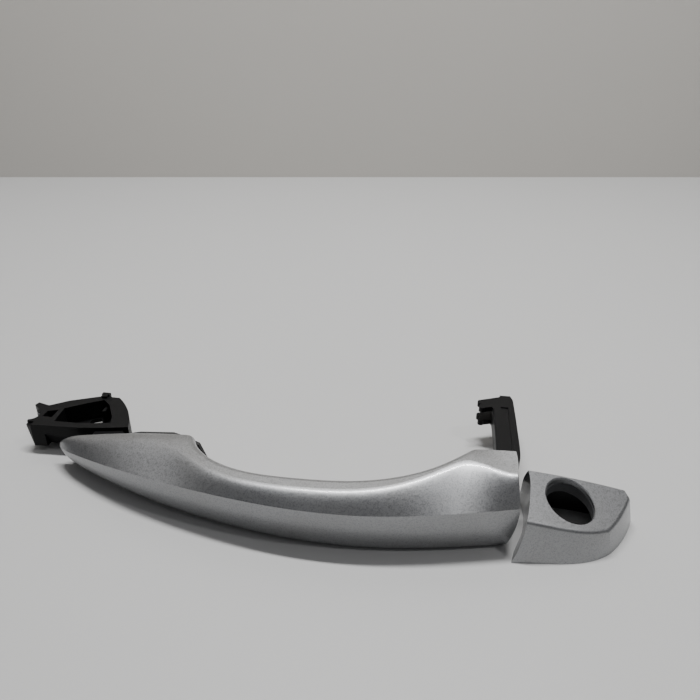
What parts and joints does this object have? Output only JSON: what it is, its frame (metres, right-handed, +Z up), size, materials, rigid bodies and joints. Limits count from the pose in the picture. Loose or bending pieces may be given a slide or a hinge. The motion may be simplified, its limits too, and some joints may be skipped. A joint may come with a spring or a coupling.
{
  "type": "car door handle",
  "caption": "Pull-type outer car door handle in silver paint with a black hinge arm and pull tail, and a separate end cap with a round lock opening.",
  "frame": {"origin": "bottom centre of the bounding box: the surface that the handle lies on is z = 0", "axes": "+X along the grip from its pointed hinge end to the end cap, -Y outward from the door (the door skin is the plane y = -0.0126), +Z up from the surface; fitted on a car +Z is the handle's upper edge"},
  "size_m": [0.2801, 0.0967, 0.0328],
  "materials": {
    "silver_paint": "silver metallic flake paint under clear coat",
    "black_nylon": "black glass-filled nylon, satin",
    "core_alloy": "die-cast, raw",
    "acetal": "dark grey acetal, smooth",
    "screw_steel": "zinc plated",
    "brass": "knurled",
    "foam": "closed-cell foam",
    "spring_steel": "spring steel",
    "gasket_rubber": "matt EPDM",
    "collar_plastic": "dark grey, fine texture"
  },
  "bodies": {
    "door_side": {"front_foot_gasket": "gasket_rubber", "rear_foot_gasket": "gasket_rubber"},
    "handle": {"grip_shell": "silver_paint", "grip_back_cover": "silver_paint", "core_beam": "core_alloy", "hinge_arm": "black_nylon", "pivot_liner": "acetal", "pull_tail": "black_nylon", "arm_screws": "screw_steel", "tail_screws": "screw_steel", "arm_screw_inserts": "brass", "tail_screw_inserts": "brass", "rattle_pads": "foam", "cover_clips": "spring_steel", "front_root_block": "black_nylon", "rear_root_block": "black_nylon"},
    "end_cap": {"cap_shell": "silver_paint", "lock_collar": "collar_plastic", "cap_frame": "black_nylon", "cap_seal": "gasket_rubber", "cap_clips": "spring_steel"}
  },
  "joints": [
    {"name": "handle_pull", "type": "hinge", "parent": "door_side", "child": "handle", "pos_m": [-0.1365, 0.0009, 0.009], "axis": [0, 0, -1], "range_deg": [0, 10]},
    {"name": "cap_fit", "type": "hinge", "parent": "door_side", "child": "end_cap", "pos_m": [0.112, -0.0255, 0.0129], "axis": [1, 0, 0], "range_deg": [0, 90]}
  ]
}
